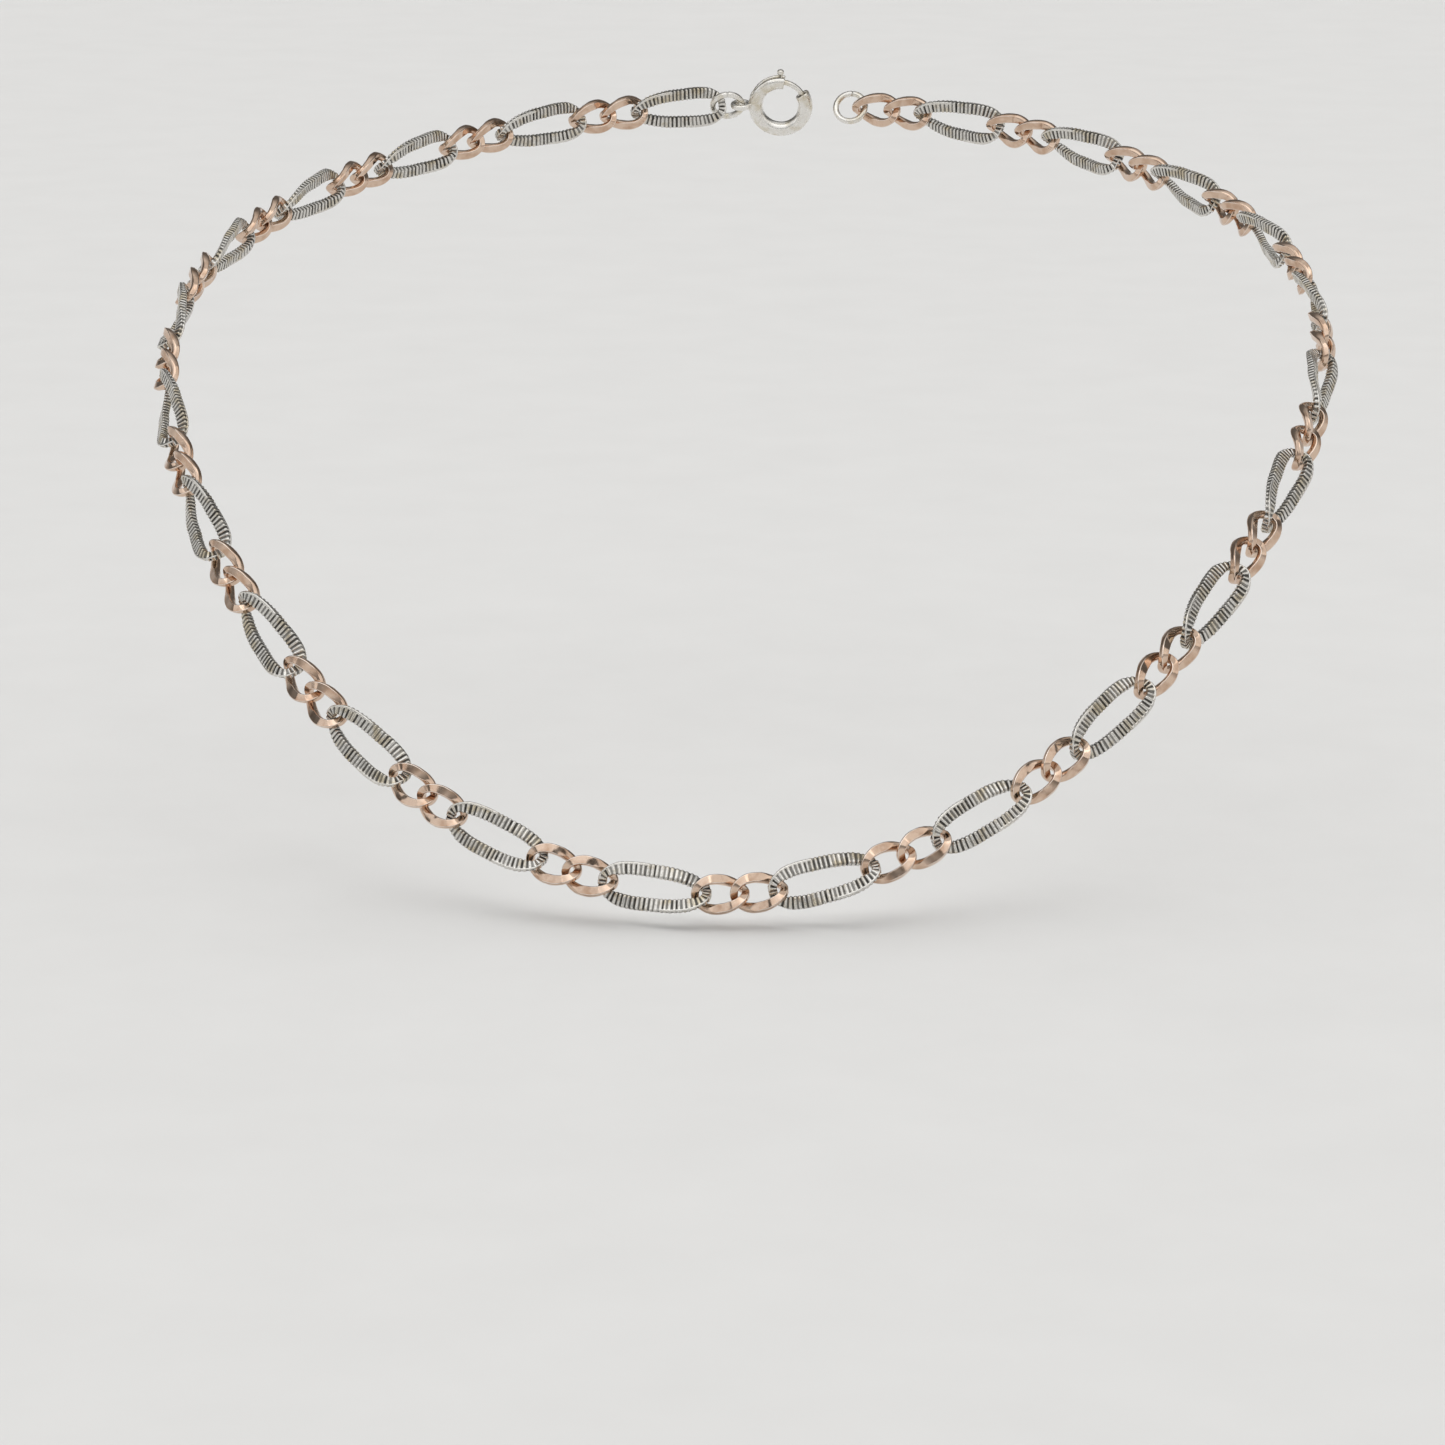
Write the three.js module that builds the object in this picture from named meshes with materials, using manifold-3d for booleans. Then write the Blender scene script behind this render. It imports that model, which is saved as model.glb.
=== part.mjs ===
// Chain necklace: a two-tone figaro curb chain with a bolt ring, in the shape it takes when worn.
// Millimetres, +Z up. The wearer faces -Y, and the origin is where the chain crosses the nape.
// From the nape the chain is built down the -X side, across the front and up the +X side.
import * as THREE from 'three';
import { mergeVertices } from 'three/addons/utils/BufferGeometryUtils.js';
import Module from 'manifold-3d';

// The loop round the neck: sine terms give X, and cosine terms give Y and Z.
const LOOP_X = [70.0, -0.5, 1.0];
const LOOP_Y = [65.0, -2.5, 1.5];
const LOOP_Z = [33.0, 8.0, 2.5];
// How far the chest, and then the nape, leans back from upright under the chain, in degrees.
const LEAN_FRONT = 29;
const LEAN_NAPE = 15;
// Place on the loop where the bolt ring's eye pulls on the jump ring, in degrees from the front.
const START_ANGLE = -175.9;

// Links. The pitch runs between the places where a link pulls on its neighbours.
const SILVER_PITCH = 10.4;
const SILVER_WIDTH = 5.3;
const SILVER_SIDE = 1.5;
const SILVER_OVAL = 3.2;
const SILVER_TWIST_POWER = 1.4;
const ROSE_PITCH = 4.3;
const ROSE_WIDTH = 4.5;
const ROSE_SIDE = 1.15;
const ROSE_OVAL = 2.4;
const ROSE_TWIST_POWER = 1;
const END_WIRE = 0.9;
const WIRE_THICK = 0.8;
const WIRE_FACETS = 6;
// The wire is at its full width this far from a link's ends.
const END_LENGTH = 2.0;
// Free play where two links pull on each other.
const PLAY = 0.4;
// A curb link is twisted, so that its ends lean this far to either side, in degrees. From the
// middle to the ends the twist grows as a power of the distance.
const TWIST = 42;
// Steps round a link: those of the worn part, and the plainer ones of the nape.
const WORN_STEPS = { silver: 20, rose: 14 };
const NAPE_STEPS = { silver: 14, rose: 10 };

// Units of one silver link and two rose links: those in single pieces, and those of the nape.
const WORN_UNITS = 16;
const NAPE_LEFT_UNITS = 4;
const NAPE_RIGHT_UNITS = 3;
const BEAD_RADIUS = 0.5;

// Plain rings at the two ends of the chain.
const RING_RADIUS = 1.95;
const RING_WIRE = 0.4;
const RING_PITCH = 2 * (RING_RADIUS - RING_WIRE) - PLAY;
const RING_STEPS = 20;
const JUMP_RING_TILT = -22.5;
const END_RING_TILT = 45;

// Bolt ring: a hollow ring with a gap that a sprung bolt closes. Angles are from its eye.
const BOLT_RING_RADIUS = 3.3;
const TUBE_RADIUS = 0.95;
const BORE_RADIUS = 0.62;
const BOLT_RADIUS = 0.36;
const GAP_FROM = 100;
const GAP_TO = 150;
const BOLT_FROM = 40;
const BOLT_TO = 158;
const SOCKET_TO = 164;
const CHAMBER_FROM = -70;
const SPRING_FROM = -66;
const SPRING_TO = 36;
const SPRING_RADIUS = 0.35;
const SLOT_FROM = 26;
const SLOT_HALF_WIDTH = 0.56;
const THUMB_AT = 91;
const THUMB_RADIUS = 0.3;
const THUMB_REACH = 1.75;
const EYE_RADIUS = 1.05;
const EYE_WIRE = 0.38;
const EYE_CENTRE = BOLT_RING_RADIUS + TUBE_RADIUS + EYE_RADIUS - 0.1;

const UP = new THREE.Vector3(0, 0, 1);
const radians = THREE.MathUtils.degToRad;
const wasm = await Module();
wasm.setup();

// ---- materials ----

function silver() {
  return new THREE.MeshStandardMaterial({ color: 0x8f8d88, roughness: 0.35, metalness: 1 });
}

function roseGold() {
  return new THREE.MeshStandardMaterial({ color: 0xc99a80, roughness: 0.22, metalness: 1 });
}

function steel() {
  return new THREE.MeshStandardMaterial({ color: 0x9a9a9c, roughness: 0.3, metalness: 1 });
}

// ---- joining and cutting ----

function solid(geometry) {
  const bare = geometry.clone();
  bare.deleteAttribute('normal');
  bare.deleteAttribute('uv');
  const merged = mergeVertices(bare, 1e-4);
  const vertProperties = new Float32Array(merged.attributes.position.array);
  const triVerts = new Uint32Array(merged.index.array);
  return new wasm.Manifold(new wasm.Mesh({ numProp: 3, vertProperties, triVerts }));
}

function geometryOf(body) {
  const { vertProperties, triVerts } = body.getMesh();
  const geometry = new THREE.BufferGeometry();
  geometry.setAttribute('position', new THREE.BufferAttribute(vertProperties, 3));
  geometry.setIndex(new THREE.BufferAttribute(triVerts, 1));
  geometry.computeVertexNormals();
  return geometry;
}

// ---- the loop ----

function loopPoint(t) {
  const point = new THREE.Vector3();
  LOOP_X.forEach((size, k) => {
    point.x += size * Math.sin((k + 1) * t);
  });
  LOOP_Y.forEach((size, k) => {
    point.y += size * (Math.cos((k + 1) * Math.PI) - Math.cos((k + 1) * t));
  });
  LOOP_Z.forEach((size, k) => {
    point.z += size * (Math.cos((k + 1) * Math.PI) - Math.cos((k + 1) * t));
  });
  return point;
}

// The next place along the loop that is a given straight distance away.
function stepAlong(t, distance) {
  const start = loopPoint(t);
  let near = t;
  let far = t + Math.sign(distance) * 0.5;
  for (let i = 0; i < 40; i += 1) {
    const middle = (near + far) / 2;
    if (loopPoint(middle).distanceTo(start) < Math.abs(distance)) near = middle;
    else far = middle;
  }
  return (near + far) / 2;
}

// Axes of a piece between two places on the loop: X along the chain and Z away from the body.
function frameBetween(from, to) {
  const a = loopPoint(from);
  const b = loopPoint(to);
  const middle = (from + to) / 2;
  const along = b.clone().sub(a).normalize();
  const lean = radians(THREE.MathUtils.lerp(LEAN_NAPE, LEAN_FRONT, (1 + Math.cos(middle)) / 2));
  const level = new THREE.Vector3(Math.sin(middle), -Math.cos(middle), 0);
  const away = level.multiplyScalar(Math.cos(lean)).addScaledVector(UP, Math.sin(lean));
  away.addScaledVector(along, -away.dot(along)).normalize();
  const across = away.clone().cross(along);
  const frame = new THREE.Matrix4().makeBasis(along, across, away);
  return frame.setPosition(a.add(b).multiplyScalar(0.5));
}

// ---- links ----

function signedPower(value, power) {
  return Math.sign(value) * Math.abs(value) ** power;
}

// A point of a twisted link: u runs round the link, and v round its wire from the outer rim.
function linkPoint(link, u, v) {
  const halfLength = link.pitch / 2 + PLAY / 2 + END_WIRE / 2;
  const halfWidth = (link.width - link.side) / 2;
  const x = halfLength * signedPower(Math.cos(u), 2 / link.oval);
  const y = halfWidth * signedPower(Math.sin(u), 2 / link.oval);
  const outX = signedPower(x / halfLength, link.oval - 1) / halfLength;
  const outY = signedPower(y / halfWidth, link.oval - 1) / halfWidth;
  const out = new THREE.Vector2(outX, outY).normalize();
  const sideShare = THREE.MathUtils.smoothstep(halfLength - Math.abs(x), 0.2, END_LENGTH);
  const wire = THREE.MathUtils.lerp(END_WIRE, link.side, sideShare);
  const radial = (wire / 2) * signedPower(Math.cos(v), 0.75);
  const point = new THREE.Vector3(x + radial * out.x, y + radial * out.y, 0);
  point.z = (WIRE_THICK / 2) * (Math.sin(v) / Math.sin(Math.PI / 3));
  const share = THREE.MathUtils.clamp(point.x / halfLength, -1.1, 1.1);
  const turn = -radians(TWIST) * signedPower(share, link.twistPower);
  return point.applyAxisAngle(new THREE.Vector3(1, 0, 0), turn);
}

function linkGeometry(link, steps) {
  const ring = new THREE.TorusGeometry(1, 0.1, WIRE_FACETS, steps);
  const { position, uv } = ring.attributes;
  for (let i = 0; i < position.count; i += 1) {
    const point = linkPoint(link, uv.getX(i) * 2 * Math.PI, uv.getY(i) * 2 * Math.PI);
    position.setXYZ(i, point.x, point.y, point.z);
  }
  return ring;
}

const SILVER = {
  pitch: SILVER_PITCH,
  width: SILVER_WIDTH,
  side: SILVER_SIDE,
  oval: SILVER_OVAL,
  twistPower: SILVER_TWIST_POWER,
};
const ROSE = {
  pitch: ROSE_PITCH,
  width: ROSE_WIDTH,
  side: ROSE_SIDE,
  oval: ROSE_OVAL,
  twistPower: ROSE_TWIST_POWER,
};
SILVER.worn = linkGeometry(SILVER, WORN_STEPS.silver);
SILVER.nape = linkGeometry(SILVER, NAPE_STEPS.silver);
ROSE.worn = linkGeometry(ROSE, WORN_STEPS.rose);
ROSE.nape = linkGeometry(ROSE, NAPE_STEPS.rose);

// A run of links of the nape in one piece: each is soldered to the next where they pull.
function runGeometry(links, frames) {
  let run = solid(links[0].nape);
  for (let i = 1; i < links.length; i += 1) {
    const place = frames[0].clone().invert().multiply(frames[i]);
    const link = solid(links[i].nape.clone().applyMatrix4(place));
    const bead = new THREE.IcosahedronGeometry(BEAD_RADIUS, 0);
    bead.translate(-links[i].pitch / 2, 0, 0).applyMatrix4(place);
    run = run.add(link).add(solid(bead));
  }
  return geometryOf(run);
}

// ---- clasp ----

function plainRing(radius, wire, tilt) {
  const ring = new THREE.TorusGeometry(radius, wire, WIRE_FACETS, RING_STEPS);
  return ring.rotateX(radians(tilt));
}

class RingArc extends THREE.Curve {
  constructor(from, to) {
    super();
    this.from = radians(from);
    this.to = radians(to);
  }

  getPoint(share, target = new THREE.Vector3()) {
    const angle = THREE.MathUtils.lerp(this.from, this.to, share);
    const x = BOLT_RING_RADIUS * Math.cos(angle);
    return target.set(x, BOLT_RING_RADIUS * Math.sin(angle), 0);
  }
}

// A round bar bent along part of the bolt ring's circle.
function bentBar(radius, from, to, facets, steps) {
  const round = new THREE.Shape();
  for (let i = 0; i < facets; i += 1) {
    const angle = (2 * Math.PI * (i + 0.5)) / facets;
    const move = i === 0 ? 'moveTo' : 'lineTo';
    round[move](radius * Math.cos(angle), radius * Math.sin(angle));
  }
  const extrudePath = new RingArc(from, to);
  return new THREE.ExtrudeGeometry(round, { steps, bevelEnabled: false, extrudePath });
}

// The part of the tube's wall that the thumb piece slides through.
function slotGeometry() {
  const sector = new THREE.Shape();
  const inner = BOLT_RING_RADIUS;
  const outer = BOLT_RING_RADIUS + 2 * TUBE_RADIUS;
  sector.absarc(0, 0, outer, radians(SLOT_FROM), radians(GAP_FROM + 10), false);
  sector.absarc(0, 0, inner, radians(GAP_FROM + 10), radians(SLOT_FROM), true);
  const depth = 2 * SLOT_HALF_WIDTH;
  const slot = new THREE.ExtrudeGeometry(sector, { depth, bevelEnabled: false, curveSegments: 6 });
  return slot.translate(0, 0, -SLOT_HALF_WIDTH);
}

function boltRingGeometry() {
  const tube = bentBar(TUBE_RADIUS, GAP_TO, GAP_FROM + 360, 8, 24);
  const chamber = bentBar(BORE_RADIUS, CHAMBER_FROM, GAP_FROM + 5, 8, 14);
  const socket = bentBar(BORE_RADIUS, GAP_TO - 5, SOCKET_TO, 8, 2);
  const eye = new THREE.TorusGeometry(EYE_RADIUS, EYE_WIRE, WIRE_FACETS, 16);
  eye.rotateX(Math.PI / 2).translate(EYE_CENTRE, 0, 0);
  const ring = solid(tube).subtract(solid(chamber)).subtract(solid(slotGeometry()));
  return geometryOf(ring.subtract(solid(socket)).add(solid(eye)));
}

function boltGeometry() {
  const bar = bentBar(BOLT_RADIUS, BOLT_FROM, BOLT_TO, 6, 12);
  const thumb = new THREE.CylinderGeometry(THUMB_RADIUS, THUMB_RADIUS, THUMB_REACH, 8);
  thumb.translate(0, BOLT_RING_RADIUS + THUMB_REACH / 2, 0).rotateZ(radians(THUMB_AT - 90));
  return geometryOf(solid(bar).add(solid(thumb)));
}

// ---- assembly ----

const group = new THREE.Group();

function add(name, geometry, material, frame) {
  const mesh = new THREE.Mesh(geometry, material);
  mesh.name = name;
  frame.decompose(mesh.position, mesh.quaternion, mesh.scale);
  group.add(mesh);
}

let angle = radians(START_ANGLE);

// The frame of the next piece along the chain, which moves the end of the chain on.
function nextFrame(pitch) {
  const from = angle;
  angle = stepAlong(from, pitch);
  return frameBetween(from, angle);
}

function addRun(name, links, material) {
  const frames = links.map((link) => nextFrame(link.pitch));
  add(name, runGeometry(links, frames), material, frames[0]);
}

function addLink(name, link, material) {
  add(name, link.worn, material, nextFrame(link.pitch));
}

function addBoltRing() {
  // The eye's far side is where the jump ring pulls, so the ring's centre lies behind that place.
  const toCentre = EYE_CENTRE + EYE_RADIUS - EYE_WIRE - PLAY / 2;
  const frame = frameBetween(angle, stepAlong(angle, -2 * toCentre));
  const turned = new THREE.Matrix4().makeRotationZ(Math.PI);
  frame.multiply(turned);
  add('bolt_ring', boltRingGeometry(), silver(), frame);
  add('bolt', boltGeometry(), silver(), frame);
  add('bolt_spring', bentBar(SPRING_RADIUS, SPRING_FROM, SPRING_TO, 6, 10), steel(), frame);
}

function number(value) {
  return String(value).padStart(2, '0');
}

addBoltRing();
add('jump_ring', plainRing(RING_RADIUS, RING_WIRE, JUMP_RING_TILT), silver(), nextFrame(RING_PITCH));
for (let i = 1; i <= NAPE_LEFT_UNITS; i += 1) {
  addRun(`nape_left_${i}`, [SILVER, ROSE, ROSE], silver());
}
for (let i = 1; i <= WORN_UNITS; i += 1) {
  addLink(`silver_${number(i)}`, SILVER, silver());
  if (i < WORN_UNITS) {
    addLink(`rose_${number(i)}_a`, ROSE, roseGold());
    addLink(`rose_${number(i)}_b`, ROSE, roseGold());
  }
}
for (let i = 1; i <= NAPE_RIGHT_UNITS; i += 1) {
  addRun(`nape_right_${i}`, [ROSE, ROSE, SILVER], silver());
}
addRun(`nape_right_${NAPE_RIGHT_UNITS + 1}`, [ROSE, ROSE], roseGold());
add('end_ring', plainRing(RING_RADIUS, RING_WIRE, END_RING_TILT), silver(), nextFrame(RING_PITCH));

export default group;
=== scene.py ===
import math

import bpy
import numpy as np
from mathutils import Matrix, Vector


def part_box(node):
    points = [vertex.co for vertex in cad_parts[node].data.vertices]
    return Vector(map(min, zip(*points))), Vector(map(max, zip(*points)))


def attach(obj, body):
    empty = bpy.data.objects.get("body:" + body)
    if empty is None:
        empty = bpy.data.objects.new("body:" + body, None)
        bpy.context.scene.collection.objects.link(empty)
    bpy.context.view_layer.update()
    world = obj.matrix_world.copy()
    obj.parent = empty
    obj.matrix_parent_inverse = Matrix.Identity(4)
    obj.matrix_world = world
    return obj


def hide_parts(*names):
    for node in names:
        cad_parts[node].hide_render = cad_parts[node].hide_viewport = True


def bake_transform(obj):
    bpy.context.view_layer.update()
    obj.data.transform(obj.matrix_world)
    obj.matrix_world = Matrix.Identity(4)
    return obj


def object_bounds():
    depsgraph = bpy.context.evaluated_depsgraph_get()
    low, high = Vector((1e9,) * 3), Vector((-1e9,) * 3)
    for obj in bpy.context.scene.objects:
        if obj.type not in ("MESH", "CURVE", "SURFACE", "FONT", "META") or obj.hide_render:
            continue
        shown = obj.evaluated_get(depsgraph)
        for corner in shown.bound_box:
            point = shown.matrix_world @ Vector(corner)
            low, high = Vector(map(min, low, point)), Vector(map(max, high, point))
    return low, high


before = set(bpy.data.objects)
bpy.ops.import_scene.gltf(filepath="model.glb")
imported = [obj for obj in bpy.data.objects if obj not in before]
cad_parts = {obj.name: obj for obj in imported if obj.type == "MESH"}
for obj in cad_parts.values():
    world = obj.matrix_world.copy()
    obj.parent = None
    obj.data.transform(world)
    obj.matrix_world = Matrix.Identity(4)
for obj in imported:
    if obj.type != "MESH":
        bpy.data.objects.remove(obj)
CAD_LOW, CAD_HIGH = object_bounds()

MM_PER_M = 1000
PLACE_TOLERANCE = 0.0004

# The chain's sizes, in millimetres and degrees. They repeat those of the CAD part.
LOOP_X = (70.0, -0.5, 1.0)
LOOP_Y = (65.0, -2.5, 1.5)
LOOP_Z = (33.0, 8.0, 2.5)
LEAN_FRONT = 29
LEAN_NAPE = 15
START_ANGLE = -175.9
PLAY = 0.4
END_WIRE = 0.9
END_LENGTH = 2.0
TWIST = 42
SILVER = {"pitch": 10.4, "width": 5.3, "side": 1.5, "oval": 3.2, "twist_power": 1.4}
ROSE = {"pitch": 4.3, "width": 4.5, "side": 1.15, "oval": 2.4, "twist_power": 1}
WORN_UNITS = 16
NAPE_LEFT_UNITS = 4
NAPE_RIGHT_UNITS = 3
RING_RADIUS = 1.95
RING_WIRE = 0.4
RING_PITCH = 2 * (RING_RADIUS - RING_WIRE) - PLAY
JUMP_RING_TILT = -22.5
END_RING_TILT = 45
BOLT_RING_RADIUS = 3.3
TUBE_RADIUS = 0.95
BORE_RADIUS = 0.62
BOLT_RADIUS = 0.36
GAP_FROM = 100
GAP_TO = 150
BOLT_FROM = 40
BOLT_TO = 158
SPRING_FROM = -66
SPRING_TO = 36
SLOT_FROM = 26
SLOT_HALF_WIDTH = 0.56
THUMB_AT = 91
THUMB_REACH = 1.75
EYE_RADIUS = 1.05
EYE_WIRE = 0.38
EYE_OVERLAP = 0.1
EYE_CENTRE = BOLT_RING_RADIUS + TUBE_RADIUS + EYE_RADIUS - EYE_OVERLAP

# Wires of the links, in millimetres: the half width and half thickness at the ends of a link, what
# each gains along its sides, the power of the outline's curve, and how deep the flats are filed.
SILVER_WIRE = {"half_width": (0.5, 0.25), "half_thick": (0.43, 0.02), "power": 4.5, "depth": 0.3}
ROSE_WIRE = {"half_width": (0.46, 0.12), "half_thick": (0.43, 0.02), "power": 2.3, "depth": 0.8}
WIDENS_FROM = 0.2
ROSE_PLACES = 120

# Curves: the steps of the search along the loop and how far it looks, in radians, the points
# round a link, and the step to each side that gives a direction, in millimetres.
SEARCH_STEPS = 40
SEARCH_REACH = 0.5
CURVE_POINTS = 4001
TANGENT_STEP = 0.02

# Flats: FILED is the share of the twist that filing takes off a face. The pairs are the heights
# over the middle of the link, in millimetres, between which a face turns filed and turns raised.
FILED = 0.97
FILED_OVER = (-0.45, 0.1)
RAISED_OVER = (-0.1, 0.35)

# Grooves between the ribs, in millimetres and shares. A groove has sloping walls, WALL wide on each
# side of their middle, and the cuts are its depths at the lip, halfway down and at the floor.
RIB_PITCH = 0.53
RIB_SCATTER = 0.02
GROOVE_DEPTH = 0.11
GROOVE_HALF_SHARES = (0.2, 0.29)
GROOVE_DEPTH_SHARES = (0.7, 1.0)
WALL = 0.05
LIP_CUT = 0.04
WALL_CUT = 0.5
FLOOR_CUT = 0.93

# Half an outline: heights up its side, as shares of the half thickness, how far the rounding of the
# edge pulls each in, and places across the flat, as shares of its half width. Nearer to the middle
# than AXES_MIX of the half thickness, a point lies between the axes of the two sides. The rim of a
# ribbed link is the points from RIM_FROM to RIM_TO, and RIM_RAISED is where it comes in.
SIDE_HEIGHTS = np.array([0, 0.3, 0.55, 0.75, 0.84, 0.91, 0.965, 1])
EDGE_ROUNDING = np.array([1, 1, 1, 1, 0.99, 0.965, 0.925, 0.86])
FLAT_SHARES = np.array([0.93, 0.74, 0.67, 0.35, -0.35, -0.8, -0.93])
OUTLINE_MARGIN = 1.02
HALF_OUTLINE = 2 * len(SIDE_HEIGHTS) + len(FLAT_SHARES)
AXES_MIX = 0.6
RIM_FROM = 3
RIM_TO = 10
RIM_RAISED = (0.2, 0.8)

# Clasp and rings: steps along and round each swept piece, and the sizes of its details, in
# millimetres, degrees and shares. RING_SLIT is half of a ring's slit.
RING_SLIT_AT = 90
RING_SLIT = 0.8
RING_END = 0.88
RING_STEPS = 96
WIRE_SIDES = 20
EYE_STEPS = 64
EYE_SIDES = 18
TUBE_OUTER_SIDES = 36
TUBE_INNER_SIDES = 28
TUBE_STEPS = (90, 12, 24)
TUBE_LIP = 0.95
INNER_SLOT_SHARE = 0.86
SLOT_TAPER = 8
SHUT_SLOT = (0.004, 0.006)
BOLT_STEPS = 60
NOSE_LEAST = 0.01
SPRING_TURNS = 12
SPRING_STEPS_A_TURN = 28
SPRING_COIL_RADIUS = 0.4
SPRING_WIRE = 0.07
SPRING_SIDES = 8
COLLAR_AT = np.array([3.9, 4.05, 4.2, 4.3, 4.38, 4.42])
COLLAR_RADII = np.array([0.62, 0.6, 0.5, 0.4, 0.25, 0.05])
THUMB_HEIGHTS = np.array([0, 0.95, 1.0, 1.1, 1.22, 1.4, 1.58, 1.69, 1.74, THUMB_REACH])
THUMB_RADII = np.array([0.24, 0.24, 0.26, 0.36, 0.44, 0.46, 0.42, 0.3, 0.14, 0.02])


# ---- the loop, as in the CAD part ----

def loop_point(t):
    """A point of the loop, where t is 0 at the front and pi or -pi at the nape."""
    k = np.arange(1, 4)
    x = np.dot(LOOP_X, np.sin(k * t))
    away = np.cos(k * math.pi) - np.cos(k * t)
    return np.array([x, np.dot(LOOP_Y, away), np.dot(LOOP_Z, away)])


def step_along(t, distance):
    """The place on the loop whose point is a straight distance from that at t."""
    start = loop_point(t)
    near, far = t, t + math.copysign(SEARCH_REACH, distance)
    for _ in range(SEARCH_STEPS):
        middle = (near + far) / 2
        if np.linalg.norm(loop_point(middle) - start) < abs(distance):
            near = middle
        else:
            far = middle
    return (near + far) / 2


def frame_between(start, end):
    """The 4x4 frame of a piece: X along the chain and Z away from the body."""
    a, b = loop_point(start), loop_point(end)
    middle = (start + end) / 2
    along = (b - a) / np.linalg.norm(b - a)
    lean = math.radians(LEAN_NAPE + (LEAN_FRONT - LEAN_NAPE) * (1 + math.cos(middle)) / 2)
    away = np.array([math.sin(middle), -math.cos(middle), 0]) * math.cos(lean)
    away[2] = math.sin(lean)
    away -= away.dot(along) * along
    away /= np.linalg.norm(away)
    placed = np.eye(4)
    placed[:3, 0], placed[:3, 1], placed[:3, 2] = along, np.cross(away, along), away
    placed[:3, 3] = (a + b) / 2
    return placed


# ---- mesh helpers ----

def turned_x(points, angles):
    """Points (n, 3), each turned about X by its own angle."""
    c, s = np.cos(angles), np.sin(angles)
    x, y, z = points.T
    return np.stack([x, y * c - z * s, y * s + z * c], 1)


def normalised(v):
    return v / np.linalg.norm(v, axis=-1, keepdims=True)


def tube_faces(rings, sides, closed):
    """Quads between rings of points, joined end to end if closed."""
    faces = []
    for i in range(rings if closed else rings - 1):
        j = (i + 1) % rings
        for k in range(sides):
            m = (k + 1) % sides
            faces.append((i * sides + k, j * sides + k, j * sides + m, i * sides + m))
    return faces


def make_object(name, points, faces, material, placed, body, nodes, slot, attributes=None):
    """A shaded mesh object from points in millimetres in a piece's own frame, riding on a body."""
    mesh = bpy.data.meshes.new(name)
    mesh.from_pydata((np.asarray(points) / MM_PER_M).tolist(), [], faces)
    mesh.polygons.foreach_set("use_smooth", [True] * len(mesh.polygons))
    for key, values in (attributes or {}).items():
        layer = mesh.attributes.new(key, "FLOAT", "POINT")
        layer.data.foreach_set("value", np.asarray(values, dtype=np.float32).ravel())
    mesh.materials.append(material)
    mesh.validate()
    mesh.update()
    piece = bpy.data.objects.new(name, mesh)
    bpy.context.scene.collection.objects.link(piece)
    matrix = np.array(placed)
    matrix[:3, 3] /= MM_PER_M
    piece.matrix_world = Matrix(matrix.tolist())
    if body:
        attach(piece, body)
    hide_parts(*nodes)
    return piece


def check_place(piece, node):
    """Stops the script if a piece's box isn't close to that of its CAD node."""
    bpy.context.view_layer.update()
    points = np.array([piece.matrix_world @ v.co for v in piece.data.vertices])
    low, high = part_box(node)
    off = max(np.abs(points.min(0) - low).max(), np.abs(points.max(0) - high).max())
    if off > PLACE_TOLERANCE:
        raise ValueError(f"{piece.name} is {off * MM_PER_M:.2f} mm from {node}")


# ---- links ----

def link_curve(link):
    """Points round the centre of a link's wire, how far along each lies, and the half length."""
    half_length = link["pitch"] / 2 + PLAY / 2 + END_WIRE / 2
    half_width = (link["width"] - link["side"]) / 2
    u = np.linspace(0, 2 * math.pi, CURVE_POINTS)
    power = 2 / link["oval"]
    x = half_length * np.sign(np.cos(u)) * np.abs(np.cos(u)) ** power
    y = half_width * np.sign(np.sin(u)) * np.abs(np.sin(u)) ** power
    along = np.concatenate([[0], np.cumsum(np.hypot(np.diff(x), np.diff(y)))])
    share = x / half_length
    turn = -math.radians(TWIST) * np.sign(share) * np.abs(share) ** link["twist_power"]
    return turned_x(np.stack([x, y, 0 * x], 1), turn), turn, along, half_length


def between(values, along, places):
    """Values read off a closed curve at places along it."""
    places = np.mod(places, along[-1])
    if values.ndim == 1:
        return np.interp(places, along, values)
    return np.stack([np.interp(places, along, v) for v in values.T], 1)


def smooth(value, low, high):
    """A soft step from 0 at low to 1 at high."""
    t = np.clip((value - low) / (high - low), 0, 1)
    return t * t * (3 - 2 * t)


def link_length(link):
    return link_curve(link)[2][-1]


def link_axes(link, places):
    """Centres, the axes and the filed and raised shares of both faces, and share of full width."""
    curve, turns, along, half_length = link_curve(link)
    centre = between(curve, along, places)
    turn = between(turns, along, places)
    ahead, behind = (between(curve, along, places + shift)
                     for shift in (TANGENT_STEP, -TANGENT_STEP))
    tangent = normalised(ahead - behind)
    sides = []
    for sign in (1, -1):
        filed = smooth(sign * centre[:, 2], *FILED_OVER)
        raised = smooth(sign * centre[:, 2], *RAISED_OVER)
        share = 1 - FILED * raised * np.abs(tangent[:, 0])
        up = turned_x(np.tile([0.0, 0, 1], (len(places), 1)), turn * share)
        normal = normalised(up - (up * tangent).sum(1, keepdims=True) * tangent)
        sides.append((np.cross(tangent, normal), normal, filed, raised))
    full = smooth(half_length - np.abs(centre[:, 0]), WIDENS_FROM, END_LENGTH)
    return centre, sides, full


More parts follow.
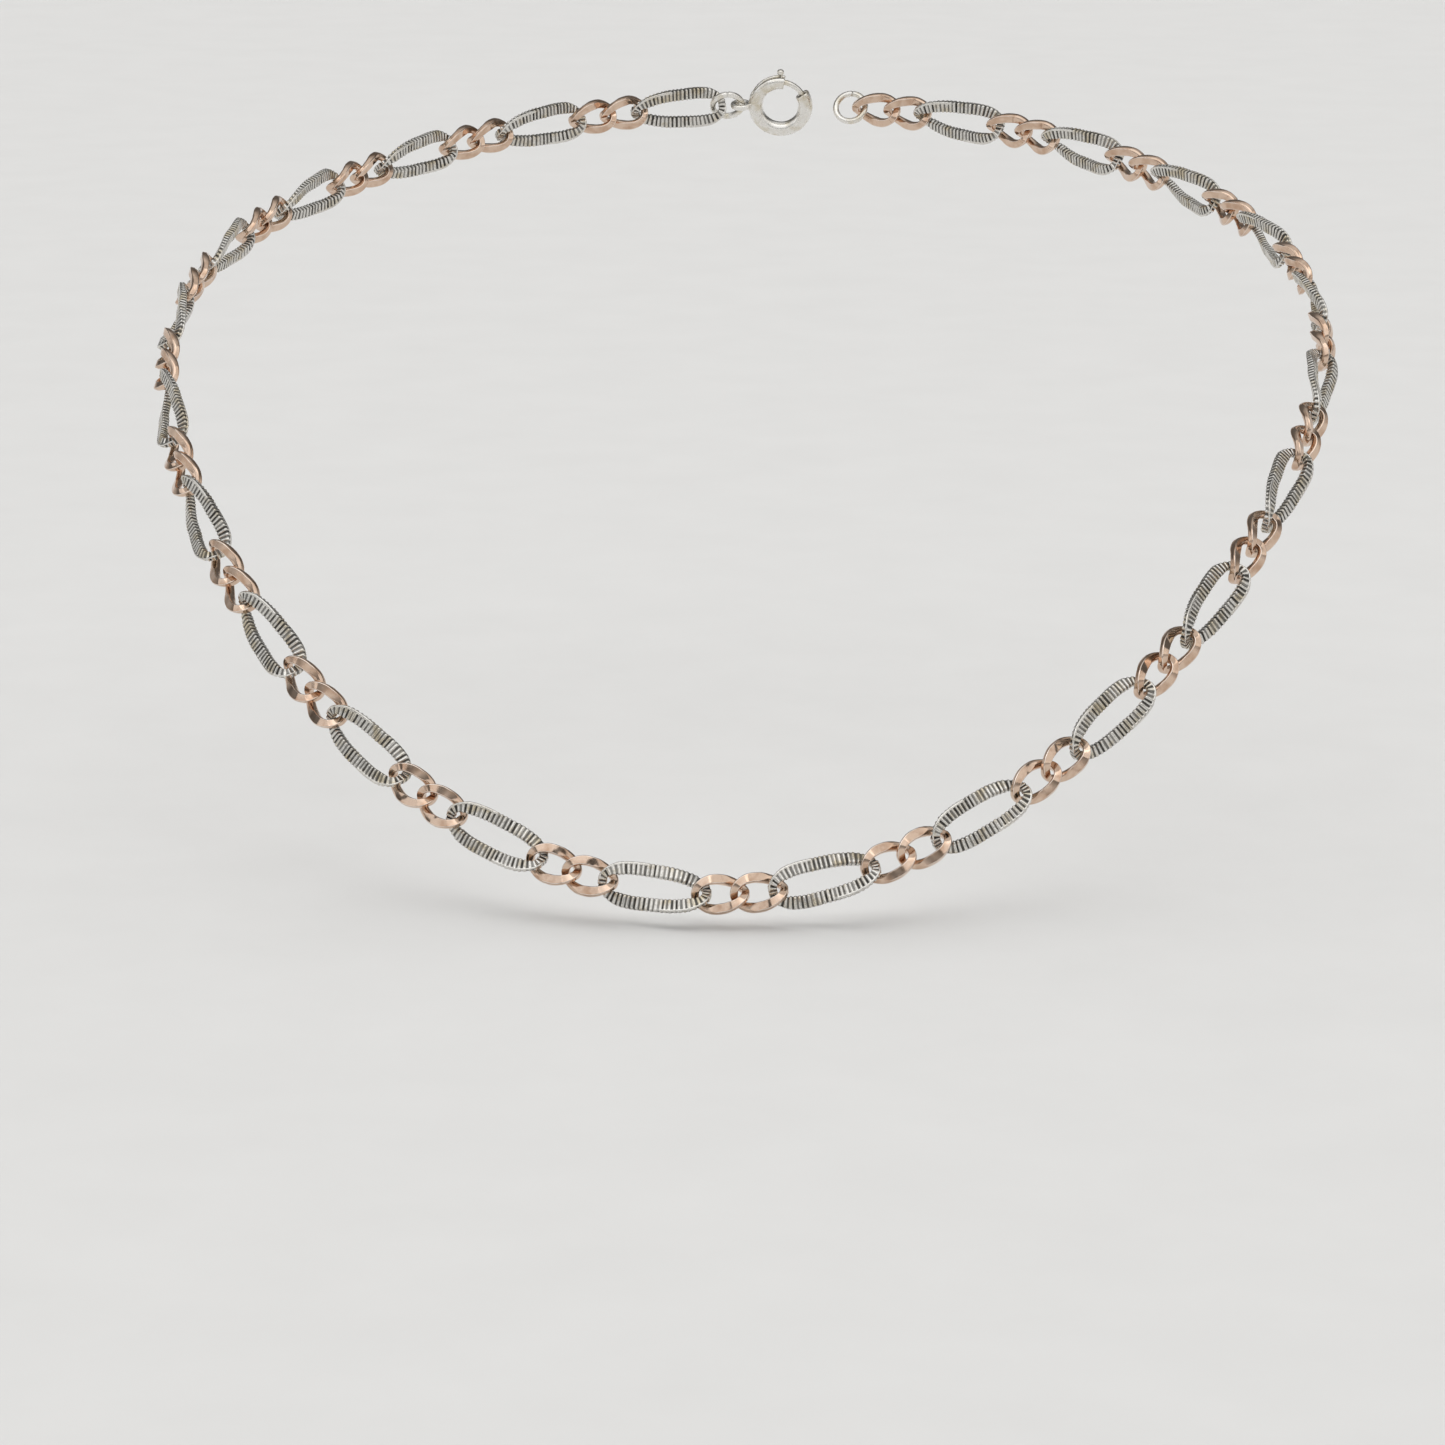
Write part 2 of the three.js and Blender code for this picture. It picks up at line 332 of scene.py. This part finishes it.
def half_outline(half_width, half_thick, filed, power, depth):
    """The upper half of a wire's outline, from its outer to its inner side, with a flat on top."""
    grown = OUTLINE_MARGIN + depth * filed[:, None]
    reach = half_width[:, None] * (1 - (SIDE_HEIGHTS / grown) ** power) ** (1 / power)
    reach = reach * EDGE_ROUNDING
    flat = reach[:, -1:] * FLAT_SHARES
    rise = np.broadcast_to(SIDE_HEIGHTS, reach.shape)
    r = np.concatenate([reach, flat, -reach[:, ::-1]], 1)
    z = np.concatenate([rise, np.ones_like(flat), rise[:, ::-1]], 1) * half_thick[:, None]
    return r, z


def both_halves(upper, lower):
    """One row of values round an outline from those of its upper and lower halves."""
    return np.concatenate([upper, lower[:, -2:0:-1]], 1)


def outline_of(wire, full, sides):
    """The whole outline (r, z), and each point's share of the upper side's axes."""
    half_width, half_thick = (wire[key][0] + wire[key][1] * full
                              for key in ("half_width", "half_thick"))
    upper, lower = (half_outline(half_width, half_thick, side[2], wire["power"], wire["depth"])
                    for side in sides)
    r = both_halves(upper[0], lower[0])
    z = both_halves(upper[1], -lower[1])
    own = 0.5 + 0.5 * np.sign(z) * smooth(np.abs(z), 0, AXES_MIX * half_thick[:, None])
    return r, z, own


def wire_points(centre, sides, r, z, own):
    """Points of an outline laid in the axes of the upper side, of the lower, or between them."""
    laid = [r[..., None] * side[0][:, None] + z[..., None] * side[1][:, None] for side in sides]
    return centre[:, None] + own[..., None] * laid[0] + (1 - own[..., None]) * laid[1]


def outline_normals(r, z):
    """Unit normals (r, z) that point out of an outline."""
    across, rise = (np.roll(v, -1, 1) - np.roll(v, 1, 1) for v in (r, z))
    ahead = normalised(np.stack([across, rise], -1))
    return ahead[..., 1], -ahead[..., 0]


def half_mask(raised):
    """Where grooves are cut on half an outline: not along the outer edge of the raised parts."""
    rim = np.zeros(HALF_OUTLINE)
    rim[RIM_FROM:RIM_TO] = 1
    return 1 - smooth(raised, *RIM_RAISED)[:, None] * rim


def ribbed_link(name, seed, **given):
    """A long link with ribs cut all round it, but for a rim along the edge of its raised parts."""
    random = np.random.default_rng(seed)
    total = link_length(SILVER)
    count = int(round(total / RIB_PITCH))
    pitch = total / count
    places, cuts = [], []
    for i in range(count):
        middle = (i + 0.5) * pitch + random.normal(0, RIB_SCATTER)
        half = pitch * random.uniform(*GROOVE_HALF_SHARES)
        depth = random.uniform(*GROOVE_DEPTH_SHARES)
        places += [i * pitch, middle - half - WALL, middle - half, middle - half + WALL,
                   middle + half - WALL, middle + half, middle + half + WALL]
        cuts += [0.0, LIP_CUT, WALL_CUT * depth, FLOOR_CUT * depth,
                 FLOOR_CUT * depth, WALL_CUT * depth, LIP_CUT]
    places, cuts = np.array(places), np.array(cuts)
    centre, sides, full = link_axes(SILVER, places)
    r, z, own = outline_of(SILVER_WIRE, full, sides)
    mask = both_halves(*(half_mask(side[3]) for side in sides))
    out, up = outline_normals(r, z)
    sunk = GROOVE_DEPTH * cuts[:, None] * mask
    points = wire_points(centre, sides, r - sunk * out, z - sunk * up, own)
    faces = tube_faces(len(places), r.shape[1], True)
    return make_object(name, points.reshape(-1, 3), faces, material_silver, slot="silver",
                       attributes={"groove": cuts[:, None] * mask, "rim": 1 - mask}, **given)


def plain_link(name, **given):
    """A short link of round polished wire, with a flat filed on each face."""
    places = np.arange(ROSE_PLACES) * link_length(ROSE) / ROSE_PLACES
    centre, sides, full = link_axes(ROSE, places)
    r, z, own = outline_of(ROSE_WIRE, full, sides)
    points = wire_points(centre, sides, r, z, own)
    top = len(SIDE_HEIGHTS)
    edges = []
    for _, _, filed, _ in sides:
        # two points along each edge of the flat, where the pale edge colour paints wear and a
        # highlight
        edge = np.zeros((ROSE_PLACES, HALF_OUTLINE))
        edge[:, [top - 2, top - 1, -top, 1 - top]] = filed[:, None]
        edges.append(edge)
    edge = both_halves(*edges)
    faces = tube_faces(ROSE_PLACES, r.shape[1], True)
    return make_object(name, points.reshape(-1, 3), faces, material_rose, slot="rose_gold",
                       attributes={"edge": edge}, **given)


# ---- rings and clasp ----

def swept(path, directions, normals, outlines, closed):
    """Points and faces of outlines (out, up) swept along a path, with flat ends."""
    out, up = outlines[..., :1], outlines[..., 1:]
    points = path[:, None] + out * directions[:, None] + up * normals[:, None]
    rings, sides = points.shape[:2]
    faces = tube_faces(rings, sides, closed)
    if not closed:
        faces.append(tuple(range(sides)))
        faces.append(tuple((rings - 1) * sides + k for k in reversed(range(sides))))
    return points.reshape(-1, 3), faces


def arc(radius, start, end, count):
    """Points of an arc about Z, and the directions out of it and up at each."""
    angles = np.radians(np.linspace(start, end, count))
    out = np.stack([np.cos(angles), np.sin(angles), 0 * angles], 1)
    return radius * out, out, np.tile([0.0, 0, 1], (count, 1))


def circle(radius, sides):
    v = 2 * math.pi * np.arange(sides) / sides
    return radius * np.stack([np.cos(v), np.sin(v)], 1)


def split_ring(name, radius, wire, tilt, **given):
    """A ring of round wire with the fine slit where it was closed."""
    start, end = RING_SLIT_AT + RING_SLIT, RING_SLIT_AT + 360 - RING_SLIT
    path, out, up = arc(radius, start, end, RING_STEPS)
    ends = np.ones(RING_STEPS)
    ends[[0, -1]] = RING_END
    outlines = circle(wire, WIRE_SIDES)[None] * ends[:, None, None]
    points, faces = swept(path, out, up, outlines, False)
    tilted = turned_x(points, np.full(len(points), math.radians(tilt)))
    return make_object(name, tilted, faces, material_plain, slot="silver", **given)


def bolt_ring_tube(name, **given):
    """The tube that the bolt slides in, slotted for the thumb piece and open at the gap."""
    # whole, then with the slot opening, then with it fully open
    full = 360 + SLOT_FROM + 1
    start = full - SLOT_TAPER
    stretches = ((GAP_TO, start - 1), (start, full + 1), (full + 4, 360 + GAP_FROM))
    angles = np.concatenate([np.linspace(*ends, steps)
                             for ends, steps in zip(stretches, TUBE_STEPS)])
    open_share = np.sqrt(np.clip((angles - start) / SLOT_TAPER, 0, 1))
    lip = np.ones(len(angles))
    lip[[0, -1]] = TUBE_LIP
    outlines = []
    for share, mouth in zip(open_share, lip):
        outer_slot = math.asin(SLOT_HALF_WIDTH / TUBE_RADIUS)
        inner_slot = math.asin(INNER_SLOT_SHARE * SLOT_HALF_WIDTH / BORE_RADIUS)
        wide, narrow = (max(share * slot, shut)
                        for slot, shut in zip((outer_slot, inner_slot), SHUT_SLOT))
        v = np.linspace(wide, 2 * math.pi - wide, TUBE_OUTER_SIDES)
        w = np.linspace(2 * math.pi - narrow, narrow, TUBE_INNER_SIDES)
        outer = TUBE_RADIUS * mouth * np.stack([np.cos(v), np.sin(v)], 1)
        inner = (BORE_RADIUS + (1 - mouth)) * np.stack([np.cos(w), np.sin(w)], 1)
        outlines.append(np.concatenate([outer, inner]))
    radians = np.radians(angles)
    out = np.stack([np.cos(radians), np.sin(radians), 0 * radians], 1)
    up = np.tile([0.0, 0, 1], (len(angles), 1))
    points, faces = swept(BOLT_RING_RADIUS * out, out, up, np.array(outlines), False)
    # each flat end is cut into faces between the outer and the inner arc
    faces = faces[:-2]
    sides = TUBE_OUTER_SIDES + TUBE_INNER_SIDES
    inner_steps = TUBE_INNER_SIDES - 1
    outer_share = (TUBE_OUTER_SIDES - 1) / inner_steps
    for ring, order in ((0, 1), (len(angles) - 1, -1)):
        first = ring * sides
        for k in range(inner_steps):
            a, b = first + round(k * outer_share), first + round((k + 1) * outer_share)
            c, d = first + sides - k - 2, first + sides - k - 1
            faces.append((a, b, c, d)[::order])
    return make_object(name, points, faces, material_plain, slot="silver", **given)


def eye(name, **given):
    """The fixed ring on the tube, with the collar where it is soldered on."""
    path, out, up = arc(EYE_RADIUS, 0, 360, EYE_STEPS)
    outlines = np.tile(circle(EYE_WIRE, EYE_SIDES), (EYE_STEPS - 1, 1, 1))
    points, faces = swept(path[:-1], out[:-1], up[:-1], outlines, True)
    # stand the ring across the tube
    points = np.stack([points[:, 0] + EYE_CENTRE, points[:, 2], points[:, 1]], 1)
    faces = [f[::-1] for f in faces]
    collar, more = collar_mesh()
    faces += [tuple(i + len(points) for i in f) for f in more]
    points = np.concatenate([points, collar])
    return make_object(name, points, faces, material_plain, slot="silver", **given)


def collar_mesh():
    """A low solder mound between the tube and the eye."""
    count = len(COLLAR_AT)
    path = np.stack([COLLAR_AT, 0 * COLLAR_AT, 0 * COLLAR_AT], 1)
    out = np.tile([0.0, 1, 0], (count, 1))
    up = np.tile([0.0, 0, 1], (count, 1))
    outlines = circle(1, WIRE_SIDES)[None] * COLLAR_RADII[:, None, None]
    return swept(path, out, up, outlines, False)


def bolt(name, **given):
    """The curved bolt with a rounded nose, and its thumb piece with a small round head."""
    angles = np.linspace(BOLT_FROM, BOLT_TO, BOLT_STEPS)
    path, out, up = arc(BOLT_RING_RADIUS, BOLT_FROM, BOLT_TO, BOLT_STEPS)
    from_nose = np.radians(BOLT_TO - angles) * BOLT_RING_RADIUS
    back = 1 - np.clip(from_nose / BOLT_RADIUS, 0, 1)
    round_off = np.sqrt(np.clip(1 - back ** 2, NOSE_LEAST, 1))
    outlines = circle(BOLT_RADIUS, WIRE_SIDES)[None] * round_off[:, None, None]
    points, faces = swept(path, out, up, outlines, False)
    reach = BOLT_RING_RADIUS + THUMB_HEIGHTS
    count = len(reach)
    at = math.radians(THUMB_AT)
    axis = np.array([math.cos(at), math.sin(at), 0])
    across = np.array([-math.sin(at), math.cos(at), 0])
    outlines = circle(1, WIRE_SIDES)[None] * THUMB_RADII[:, None, None]
    thumb, more = swept(reach[:, None] * axis, np.tile(across, (count, 1)),
                        np.tile([0.0, 0, 1], (count, 1)), outlines, False)
    faces += [tuple(i + len(points) for i in f) for f in more]
    points = np.concatenate([points, thumb])
    return make_object(name, points, faces, material_plain, slot="silver", **given)


def coil(name, placed, **given):
    """The bolt's spring, wound inside the tube, drawn at one length; nothing here presses it
    together as the bolt goes back.
    """
    count = SPRING_TURNS * SPRING_STEPS_A_TURN
    _, out, up = arc(BOLT_RING_RADIUS, SPRING_FROM, SPRING_TO, count)
    wind = 2 * math.pi * SPRING_TURNS * np.linspace(0, 1, count)
    radial = np.cos(wind)[:, None] * out + np.sin(wind)[:, None] * up
    path = BOLT_RING_RADIUS * out + SPRING_COIL_RADIUS * radial
    tangent = normalised(np.gradient(path, axis=0))
    side = np.cross(tangent, radial)
    outlines = np.tile(circle(SPRING_WIRE, SPRING_SIDES), (count, 1, 1))
    points, faces = swept(path, radial, normalised(side), outlines, False)
    piece = make_object(name, points, faces, material_spring, placed=placed, slot="steel", **given)
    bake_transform(piece)
    return piece


# ---- materials ----

COLOURS = {
    "silver": (0.75, 0.73, 0.69, 1),
    "tarnish": (0.55, 0.46, 0.30, 1),
    "speck": (0.26, 0.24, 0.21, 1),
    "black": (0.025, 0.024, 0.022, 1),
    "worn black": (0.115, 0.108, 0.095, 1),
    "rose gold": (0.73, 0.555, 0.435, 1),
    "rose patch": (0.55, 0.37, 0.26, 1),
    # the pale colour of the rose flats' edges: rubbing wear, and a painted highlight along their
    # bevels
    "rose worn edge and painted highlight": (0.92, 0.84, 0.77, 1),
    "rose speck": (0.42, 0.24, 0.15, 1),
    "plain silver": (0.84, 0.82, 0.78, 1),
    "plain tarnish": (0.66, 0.60, 0.48, 1),
    "steel": (0.50, 0.50, 0.51, 1),
    "pale steel": (0.68, 0.68, 0.70, 1),
    "paper": (0.60, 0.595, 0.585, 1),
    "pale paper": (0.64, 0.635, 0.625, 1),
}

# The metals. A noise is its scale a millimetre and its detail, and where there are four numbers,
# the last two are the values between which it goes from none to full. Roughness is the range that
# the smudges give, scratches are how much finer than a millimetre they are along each axis, and a
# bump is its height in metres and its strength.
SILVER_FINISH = {
    "patches": (0.55, 2, 0.48, 0.68),
    "tarnish by rim": (0.75, 0.25),
    "specks": (4.0, 4, 0.52, 0.66),
    "speck share": 0.4,
    "groove wear": (2.4, 3, 0.35, 0.7),
    "groove shows": (0.3, 0.85),
    "groove metal": 0.8,
    "groove roughness": 0.18,
    "smudges": (1.3, 4, 0.3, 0.75),
    "roughness": (0.14, 0.34),
    "scratches": (6, 30, 30),
    "pits": (9.0, 2),
    "pit share": 0.6,
    "bump": (0.000012, 0.6),
}
ROSE_FINISH = {
    "patches": (0.7, 2, 0.42, 0.7),
    # how far and how strongly the pale edge colour shows: edge wear and a painted highlight
    "edge wear and highlight shows": (0.3, 1),
    "edge wear and highlight share": 0.8,
    "specks": (6.0, 3, 0.62, 0.74),
    "speck share": 0.3,
    "smudges": (1.6, 4, 0.3, 0.75),
    "roughness": (0.05, 0.16),
    "scratches": (5, 26, 26),
    "bump": (0.000006, 0.25),
}
PLAIN_FINISH = {
    "patches": (0.6, 2, 0.45, 0.7),
    "smudges": (1.8, 4, 0.3, 0.75),
    "roughness": (0.16, 0.36),
    "scratches": (20, 5, 20),
    "bump": (0.000012, 0.5),
}
SPRING_FINISH = {
    "streaks": (3.0, 2),
    "smudges": (8.0, 2, 0.3, 0.7),
    "roughness": (0.22, 0.4),
}
SCRATCH_DETAIL = 3

# The floor: the scale a metre and the detail of its grain, and its roughness.
PAPER_GRAIN = (60.0, 3)
PAPER_ROUGHNESS = 0.9


class Nodes:
    """A small helper that adds and links shader nodes."""

    def __init__(self, name):
        self.material = bpy.data.materials.new(name)
        self.material.use_nodes = True
        self.tree = self.material.node_tree
        self.shader = self.tree.nodes["Principled BSDF"]

    def add(self, kind, inputs=None, **settings):
        node = self.tree.nodes.new(kind)
        for key, value in settings.items():
            setattr(node, key, value)
        for key, value in (inputs or {}).items():
            self.set(node, key, value)
        return node

    def set(self, node, key, value):
        socket = node.inputs[key]
        if isinstance(value, bpy.types.NodeSocket):
            self.tree.links.new(value, socket)
        else:
            socket.default_value = value

    def coordinates(self, shift=40):
        """Object coordinates in millimetres, moved by a different amount on each object."""
        at = self.add("ShaderNodeTexCoord").outputs["Object"]
        own = self.add("ShaderNodeObjectInfo").outputs["Random"]
        inputs = {0: self.stretched(at, (MM_PER_M,) * 3), 1: self.math("MULTIPLY", own, shift)}
        return self.add("ShaderNodeVectorMath", inputs, operation="ADD").outputs[0]

    def noise(self, at, scale, detail=3, rough=0.55):
        inputs = {"Vector": at, "Scale": scale, "Detail": detail, "Roughness": rough}
        return self.add("ShaderNodeTexNoise", inputs).outputs["Fac"]

    def stretched(self, at, scale):
        inputs = {0: at, 1: scale}
        return self.add("ShaderNodeVectorMath", inputs, operation="MULTIPLY").outputs[0]

    def ramp(self, value, low, high, to_low=0.0, to_high=1.0):
        inputs = {"Value": value, "From Min": low, "From Max": high,
                  "To Min": to_low, "To Max": to_high}
        return self.add("ShaderNodeMapRange", inputs).outputs["Result"]

    def spots(self, at, noise, span=(0.0, 1.0)):
        """Noise that goes from one value to another, as a finish gives it."""
        scale, detail, low, high = noise
        return self.ramp(self.noise(at, scale, detail), low, high, *span)

    def scratches(self, at, stretch):
        return self.noise(self.stretched(at, stretch), 1.0, SCRATCH_DETAIL)

    def math(self, operation, a, b):
        return self.add("ShaderNodeMath", {0: a, 1: b}, operation=operation).outputs[0]

    def mix(self, share, a, b):
        """A mix of two colours, each a name in COLOURS or a socket."""
        node = self.add("ShaderNodeMix", {"Factor": share}, data_type="RGBA")
        for key, colour in ((6, a), (7, b)):
            self.set(node, key, COLOURS[colour] if isinstance(colour, str) else colour)
        return node.outputs[2]

    def attribute(self, name):
        return self.add("ShaderNodeAttribute", attribute_name=name).outputs["Fac"]

    def bump(self, height, distance, strength=1.0):
        inputs = {"Height": height, "Distance": distance, "Strength": strength}
        return self.add("ShaderNodeBump", inputs).outputs["Normal"]

    def finish(self, **values):
        for key, value in values.items():
            self.set(self.shader, key.replace("_", " "), value)
        return self.material


def ribbed_silver():
    """Polished silver ribs over blackened grooves, with warm tarnish in patches."""
    n, use = Nodes("ribbed_silver"), SILVER_FINISH
    at = n.coordinates()
    groove = n.attribute("groove")
    rim = n.attribute("rim")
    patches = n.spots(at, use["patches"])
    specks = n.spots(at, use["specks"])
    tarnish = n.math("MULTIPLY", patches, n.ramp(rim, 0, 1, *use["tarnish by rim"]))
    silver = n.mix(tarnish, "silver", "tarnish")
    worn = n.mix(n.math("MULTIPLY", specks, use["speck share"]), silver, "speck")
    black = n.mix(n.spots(at, use["groove wear"]), "black", "worn black")
    dark = n.ramp(groove, *use["groove shows"])
    colour = n.mix(dark, worn, black)
    polished = n.spots(at, use["smudges"], use["roughness"])
    rough = n.math("ADD", polished, n.math("MULTIPLY", dark, use["groove roughness"]))
    scratches = n.scratches(at, use["scratches"])
    pits = n.noise(at, *use["pits"])
    height = n.math("ADD", scratches, n.math("MULTIPLY", pits, use["pit share"]))
    metal = n.ramp(dark, 0, 1, 1.0, use["groove metal"])
    return n.finish(Base_Color=colour, Metallic=metal, Roughness=rough,
                    Normal=n.bump(height, *use["bump"]))


def rose_gold():
    """Polished rose gold with faint scratches, and edges made paler for wear and as a painted
    highlight.
    """
    n, use = Nodes("rose_gold"), ROSE_FINISH
    at = n.coordinates()
    # the flats' edges are mixed towards a pale colour: rubbing wear and a painted highlight
    edge = n.ramp(n.attribute("edge"), *use["edge wear and highlight shows"])
    body = n.mix(n.spots(at, use["patches"]), "rose gold", "rose patch")
    worn = n.mix(n.math("MULTIPLY", edge, use["edge wear and highlight share"]), body, "rose worn edge and painted highlight")
    specks = n.math("MULTIPLY", n.spots(at, use["specks"]), use["speck share"])
    colour = n.mix(specks, worn, "rose speck")
    rough = n.spots(at, use["smudges"], use["roughness"])
    scratches = n.scratches(at, use["scratches"])
    return n.finish(Base_Color=colour, Metallic=1.0, Roughness=rough,
                    Normal=n.bump(scratches, *use["bump"]))


def plain_silver():
    """Polished silver of the rings and the clasp, dulled a little by handling."""
    n, use = Nodes("plain_silver"), PLAIN_FINISH
    at = n.coordinates()
    colour = n.mix(n.spots(at, use["patches"]), "plain silver", "plain tarnish")
    rough = n.spots(at, use["smudges"], use["roughness"])
    scratches = n.scratches(at, use["scratches"])
    return n.finish(Base_Color=colour, Metallic=1.0, Roughness=rough,
                    Normal=n.bump(scratches, *use["bump"]))


def spring_steel():
    """Drawn spring wire."""
    n, use = Nodes("spring_steel"), SPRING_FINISH
    at = n.coordinates()
    colour = n.mix(n.noise(at, *use["streaks"]), "steel", "pale steel")
    rough = n.spots(at, use["smudges"], use["roughness"])
    return n.finish(Base_Color=colour, Metallic=1.0, Roughness=rough)


def paper():
    """The pale matt floor."""
    n = Nodes("paper")
    at = n.add("ShaderNodeTexCoord").outputs["Object"]
    colour = n.mix(n.noise(at, *PAPER_GRAIN), "paper", "pale paper")
    return n.finish(Base_Color=colour, Roughness=PAPER_ROUGHNESS)


material_silver = ribbed_silver()
material_rose = rose_gold()
material_plain = plain_silver()
material_spring = spring_steel()


# ---- assembly ----

# The ribs of a long link are drawn from its own seed: its run's or its stretch's, and its number.
WORN_SEED = 1000
RIGHT_SEED = 2000
RUN_SEED_STEP = 100

place = math.radians(START_ANGLE)


def next_frame(pitch):
    """The frame of the next piece round the loop."""
    global place
    start = place
    place = step_along(start, pitch)
    return frame_between(start, place)


def number(value):
    return str(value).zfill(2)


def add_link(name, kind, body, seed=None):
    """A link in the next place. Only a long link has a seed."""
    link = SILVER if kind == "silver" else ROSE
    given = {"placed": next_frame(link["pitch"]), "body": body, "nodes": [body]}
    if kind == "silver":
        return ribbed_link(name, seed, **given)
    return plain_link(name, **given)


def add_run(body, kinds, seed=0):
    """The links of one run behind the neck, which all ride on one body."""
    for i, kind in enumerate(kinds):
        add_link(f"link_{body}_{'abc'[i]}", kind, body, seed + i)


def add_clasp():
    to_centre = EYE_CENTRE + EYE_RADIUS - EYE_WIRE - PLAY / 2
    placed = frame_between(place, step_along(place, -2 * to_centre))
    placed[:3, 0] *= -1
    placed[:3, 1] *= -1
    on_ring = {"placed": placed, "body": "bolt_ring"}
    bolt_ring_tube("clasp_tube", nodes=["bolt_ring"], **on_ring)
    eye("clasp_eye", nodes=["bolt_ring"], **on_ring)
    coil("clasp_spring", placed=placed, body=None, nodes=["bolt_spring"])
    bolt("clasp_bolt", placed=placed, body="bolt", nodes=["bolt"])


def add_ring(name, tilt, node):
    placed = next_frame(RING_PITCH)
    piece = split_ring(name, RING_RADIUS, RING_WIRE, tilt, placed=placed, body=node, nodes=[node])
    check_place(piece, node)


add_clasp()
add_ring("ring_jump", JUMP_RING_TILT, "jump_ring")
for i in range(1, NAPE_LEFT_UNITS + 1):
    add_run(f"nape_left_{i}", ["silver", "rose", "rose"], RUN_SEED_STEP * i)
for i in range(1, WORN_UNITS + 1):
    node = f"silver_{number(i)}"
    check_place(add_link(f"link_{node}", "silver", node, WORN_SEED + i), node)
    if i < WORN_UNITS:
        for half in "ab":
            node = f"rose_{number(i)}_{half}"
            check_place(add_link(f"link_{node}", "rose", node), node)
for i in range(1, NAPE_RIGHT_UNITS + 1):
    add_run(f"nape_right_{i}", ["rose", "rose", "silver"], RIGHT_SEED + RUN_SEED_STEP * i)
add_run(f"nape_right_{NAPE_RIGHT_UNITS + 1}", ["rose", "rose"])
add_ring("ring_end", END_RING_TILT, "end_ring")


# ---- floor, light and camera ----

CAMERA_AZIMUTH = math.radians(3.9)
CAMERA_ELEVATION = math.radians(13.9)
CAMERA_DISTANCE = 0.669
CAMERA_AIM_RIGHT = -0.0073
CAMERA_AIM_UP = -0.0818
CAMERA_LENS = 125.9
SENSOR_WIDTH = 36
CLIP_START = 0.01

FLOOR_SIZE = 8
FLOOR_GAP = 0.0015

# Each softbox: place and size in metres, power, and colour.
SOFTBOXES = {
    "key": ((0.0, -1.05, 0.95), (1.6, 1.4), 6.4, (1, 1, 1)),
    "right": ((1.05, -0.6, 0.72), (1.1, 1.2), 3.0, (1.0, 0.98, 0.95)),
    "left": ((-1.05, -0.6, 0.72), (1.1, 1.2), 3.0, (1, 1, 1)),
}
SKY_DIRECTION = (0, -0.45, -1)
SKY_ENERGY = 2.9
SKY_ANGLE = math.radians(100)

# Shades of the surround by height, from the horizon at 0 to straight up at 1.
SURROUND = ((0.0, 0.68), (0.08, 0.5), (0.35, 0.12), (0.7, 0.16), (0.95, 0.75))
SURROUND_COLOUR = (1.0, 1.0, 0.99, 1)


def add_floor():
    bpy.ops.mesh.primitive_plane_add(size=FLOOR_SIZE, location=(0, 0, CAD_LOW.z - FLOOR_GAP))
    floor = bpy.context.object
    floor.name = "floor"
    floor.data.materials.append(paper())


def add_lamp(name, kind, direction):
    """A light that shines along a direction."""
    lamp = bpy.data.lights.new(name, kind)
    light = bpy.data.objects.new(name, lamp)
    bpy.context.scene.collection.objects.link(light)
    light.rotation_euler = Vector(direction).to_track_quat("-Z", "Y").to_euler()
    return light


def add_softbox(name, location, size, power, colour):
    """A soft light that only the metal reflects."""
    light = add_lamp(name, "AREA", (CAD_LOW + CAD_HIGH) / 2 - Vector(location))
    light.location = location
    light.visible_diffuse = False
    light.data.shape = "RECTANGLE"
    light.data.size, light.data.size_y = size
    light.data.energy = power
    light.data.color = colour


def add_sky_light():
    """A broad soft light from above, the same all over the floor. The metal doesn't reflect it."""
    light = add_lamp("sky", "SUN", SKY_DIRECTION)
    light.visible_glossy = False
    light.data.energy = SKY_ENERGY
    light.data.angle = SKY_ANGLE


def add_camera():
    a, e = CAMERA_AZIMUTH, CAMERA_ELEVATION
    right = Vector((math.cos(a), math.sin(a), 0))
    forward = Vector((-math.sin(a) * math.cos(e), math.cos(a) * math.cos(e), -math.sin(e)))
    up = right.cross(forward)
    lens = bpy.data.cameras.new("camera")
    lens.lens = CAMERA_LENS
    lens.sensor_width = SENSOR_WIDTH
    lens.clip_start = CLIP_START
    camera = bpy.data.objects.new("camera", lens)
    bpy.context.scene.collection.objects.link(camera)
    camera.location = CAMERA_AIM_RIGHT * right + CAMERA_AIM_UP * up - CAMERA_DISTANCE * forward
    camera.rotation_euler = forward.to_track_quat("-Z", "Y").to_euler()
    bpy.context.scene.camera = camera


def add_world():
    """A soft surround, bright at the horizon and overhead and darker between."""
    world = bpy.data.worlds.new("world")
    bpy.context.scene.world = world
    world.use_nodes = True
    tree = world.node_tree
    direction = tree.nodes.new("ShaderNodeTexCoord")
    split = tree.nodes.new("ShaderNodeSeparateXYZ")
    shades = tree.nodes.new("ShaderNodeValToRGB")
    stops = shades.color_ramp.elements
    stops[1].position = SURROUND[-1][0]
    for height, _ in SURROUND[1:-1]:
        stops.new(height)
    for stop, (_, shade) in zip(stops, SURROUND):
        stop.color = (shade, shade, shade, 1)
    tree.links.new(direction.outputs["Generated"], split.inputs[0])
    tree.links.new(split.outputs["Z"], shades.inputs["Fac"])
    tree.links.new(shades.outputs["Color"], tree.nodes["Background"].inputs["Strength"])
    tree.nodes["Background"].inputs["Color"].default_value = SURROUND_COLOUR


add_floor()
for name, values in SOFTBOXES.items():
    add_softbox(name, *values)
add_sky_light()
add_world()
add_camera()
bpy.context.scene.view_settings.view_transform = "Standard"
